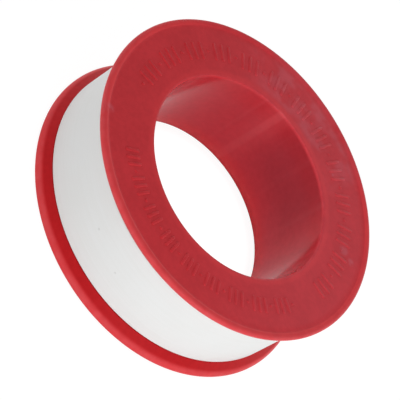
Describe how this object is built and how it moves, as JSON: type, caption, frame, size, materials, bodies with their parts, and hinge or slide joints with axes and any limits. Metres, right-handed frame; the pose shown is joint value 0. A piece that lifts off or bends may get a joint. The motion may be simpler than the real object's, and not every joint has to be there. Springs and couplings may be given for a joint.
{
  "type": "thread seal tape roll",
  "caption": "Round flanged spool moulded in push-fit halves with an open bore, wound with thin white sealing film for pipe threads, whose free end lifts off the roll.",
  "frame": {"origin": "on the spool's axis, at the surface that the sleeve half's rim stands on", "axes": "+Z along the spool's axis, from the sleeve half to the tube half; +Y towards the side of the tape's free end"},
  "size_m": [0.052, 0.052, 0.0171],
  "materials": {
    "spool_plastic": "satin moulded red plastic",
    "film": "soft white film, matt with a faint sheen"
  },
  "bodies": {
    "sleeve_half": {"spool_sleeve_half": "spool_plastic"},
    "tube_half": {"spool_tube_half": "spool_plastic"},
    "tape": {"tape_roll": "film", "tape_outer_turn": "film"},
    "free_end": {"tape_free_end": "film"}
  },
  "joints": [
    {"name": "halves_pull_apart", "type": "slide", "parent": "sleeve_half", "child": "tube_half", "axis": [0, 0, 1], "range_m": [0, 0.018]},
    {"name": "roll_turns_on_hub", "type": "hinge", "parent": "sleeve_half", "child": "tape", "pos_m": [0, 0, 0.00855], "axis": [0, 0, 1], "continuous": true},
    {"name": "free_end_lifts", "type": "hinge", "parent": "tape", "child": "free_end", "pos_m": [0.00629, 0.02348, 0.00855], "axis": [0, 0, -1], "range_deg": [0, 100]}
  ]
}
